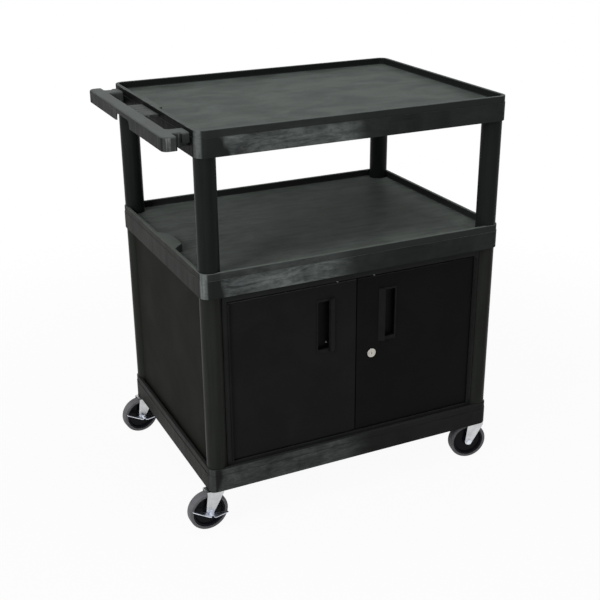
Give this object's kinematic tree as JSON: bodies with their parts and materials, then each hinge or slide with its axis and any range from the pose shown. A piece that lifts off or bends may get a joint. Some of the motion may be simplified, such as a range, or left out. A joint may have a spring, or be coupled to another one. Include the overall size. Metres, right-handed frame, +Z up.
{
  "type": "coffee cart",
  "caption": "Rolling service cart with lipped tray shelves on tube legs, a lower cabinet with hinged doors, recessed pulls and a cam lock, an end push handle and swivel casters.",
  "frame": {"origin": "under the middle of the cart's outline, on the ground", "axes": "+Z up, -Y the way the doors face, -X the end with the push handle"},
  "size_m": [0.893, 0.6184, 1.0136],
  "materials": {
    "shelf_plastic": "moulded grain, satin",
    "handle_plastic": "moulded grain, satin",
    "leg_plastic": "satin",
    "panel_paint": "powder coat",
    "frame_paint": "powder coat",
    "door_paint": "powder coat",
    "hinge_paint": "powder coat",
    "pull_plastic": "satin",
    "nickel": "bright nickel",
    "zinc": "bright zinc",
    "tyre_rubber": "matt",
    "core_plastic": "gloss",
    "cup_paint": "satin",
    "fastener_steel": "plated"
  },
  "bodies": {
    "cart": {"top_shelf": "shelf_plastic", "push_handle": "handle_plastic", "handle_screws": "fastener_steel", "middle_shelf": "shelf_plastic", "left_panel": "panel_paint", "right_panel": "panel_paint", "back_panel": "panel_paint", "bottom_shelf": "shelf_plastic", "cabinet_screws": "fastener_steel", "door_frame": "frame_paint", "upper_leg_fl": "leg_plastic", "lower_leg_fl": "leg_plastic", "upper_leg_fr": "leg_plastic", "lower_leg_fr": "leg_plastic", "upper_leg_bl": "leg_plastic", "lower_leg_bl": "leg_plastic", "upper_leg_br": "leg_plastic", "lower_leg_br": "leg_plastic", "right_hinge_frame_leaf": "hinge_paint", "left_hinge_frame_leaf": "hinge_paint", "right_hinge_pin": "hinge_paint", "left_hinge_pin": "hinge_paint", "caster_cups": "cup_paint", "swivel_bearings": "cup_paint", "caster_stems": "fastener_steel", "stem_nuts": "fastener_steel"},
    "left_door_leaf": {"left_door": "door_paint", "left_hinge_door_leaf": "hinge_paint", "left_pull": "pull_plastic", "left_pull_fasteners": "fastener_steel", "left_door_catches": "nickel"},
    "right_door_leaf": {"right_door": "door_paint", "right_hinge_door_leaf": "hinge_paint", "right_pull": "pull_plastic", "right_pull_fasteners": "fastener_steel", "right_door_catch": "nickel", "lock_housing": "nickel", "lock_nut": "fastener_steel"},
    "lock": {"lock_plug": "nickel", "lock_cam": "fastener_steel", "cam_nut": "fastener_steel"},
    "swivel_fl": {"fork_fl": "zinc", "axle_fl": "zinc"},
    "wheel_fl": {"tyre_fl": "tyre_rubber", "wheel_core_fl": "core_plastic"},
    "swivel_fr": {"fork_fr": "zinc", "axle_fr": "zinc"},
    "wheel_fr": {"tyre_fr": "tyre_rubber", "wheel_core_fr": "core_plastic"},
    "swivel_bl": {"fork_bl": "zinc", "axle_bl": "zinc"},
    "wheel_bl": {"tyre_bl": "tyre_rubber", "wheel_core_bl": "core_plastic"},
    "swivel_br": {"fork_br": "zinc", "axle_br": "zinc"},
    "wheel_br": {"tyre_br": "tyre_rubber", "wheel_core_br": "core_plastic"},
    "brake_fl": {"brake_lever_fl": "zinc"},
    "brake_bl": {"brake_lever_bl": "zinc"}
  },
  "joints": [
    {"name": "left_door_hinge", "type": "hinge", "parent": "cart", "child": "left_door_leaf", "pos_m": [-0.31193, -0.28843, 0.39135], "axis": [0, 0, -1], "range_deg": [0, 150]},
    {"name": "right_door_hinge", "type": "hinge", "parent": "cart", "child": "right_door_leaf", "pos_m": [0.37097, -0.28843, 0.39135], "axis": [0, 0, 1], "range_deg": [0, 150]},
    {"name": "lock_turn", "type": "hinge", "parent": "right_door_leaf", "child": "lock", "pos_m": [0.07252, -0.28583, 0.3936], "axis": [0, 1, 0], "range_deg": [0, 90]},
    {"name": "swivel_turn_fl", "type": "hinge", "parent": "cart", "child": "swivel_fl", "pos_m": [-0.35698, -0.27083, 0.1071], "axis": [0, 0, 1], "continuous": true},
    {"name": "wheel_spin_fl", "type": "hinge", "parent": "swivel_fl", "child": "wheel_fl", "pos_m": [-0.37848, -0.2712, 0.0508], "axis": [-0.0175, 0.9998, 0], "continuous": true},
    {"name": "brake_press_fl", "type": "hinge", "parent": "swivel_fl", "child": "brake_fl", "pos_m": [-0.37848, -0.2712, 0.0508], "axis": [0.0175, -0.9998, 0], "range_deg": [0, 20]},
    {"name": "swivel_turn_fr", "type": "hinge", "parent": "cart", "child": "swivel_fr", "pos_m": [0.41602, -0.27083, 0.1071], "axis": [0, 0, 1], "continuous": true},
    {"name": "wheel_spin_fr", "type": "hinge", "parent": "swivel_fr", "child": "wheel_fr", "pos_m": [0.39499, -0.26636, 0.0508], "axis": [0.2079, 0.9781, 0], "continuous": true},
    {"name": "swivel_turn_bl", "type": "hinge", "parent": "cart", "child": "swivel_bl", "pos_m": [-0.35698, 0.27917, 0.1071], "axis": [0, 0, 1], "continuous": true},
    {"name": "wheel_spin_bl", "type": "hinge", "parent": "swivel_bl", "child": "wheel_bl", "pos_m": [-0.3784, 0.2773, 0.0508], "axis": [-0.0872, 0.9962, 0], "continuous": true},
    {"name": "brake_press_bl", "type": "hinge", "parent": "swivel_bl", "child": "brake_bl", "pos_m": [-0.3784, 0.2773, 0.0508], "axis": [0.0872, -0.9962, 0], "range_deg": [0, 20]},
    {"name": "swivel_turn_br", "type": "hinge", "parent": "cart", "child": "swivel_br", "pos_m": [0.41602, 0.27917, 0.1071], "axis": [0, 0, 1], "continuous": true},
    {"name": "wheel_spin_br", "type": "hinge", "parent": "swivel_br", "child": "wheel_br", "pos_m": [0.3946, 0.2773, 0.0508], "axis": [-0.0872, 0.9962, 0], "continuous": true}
  ]
}
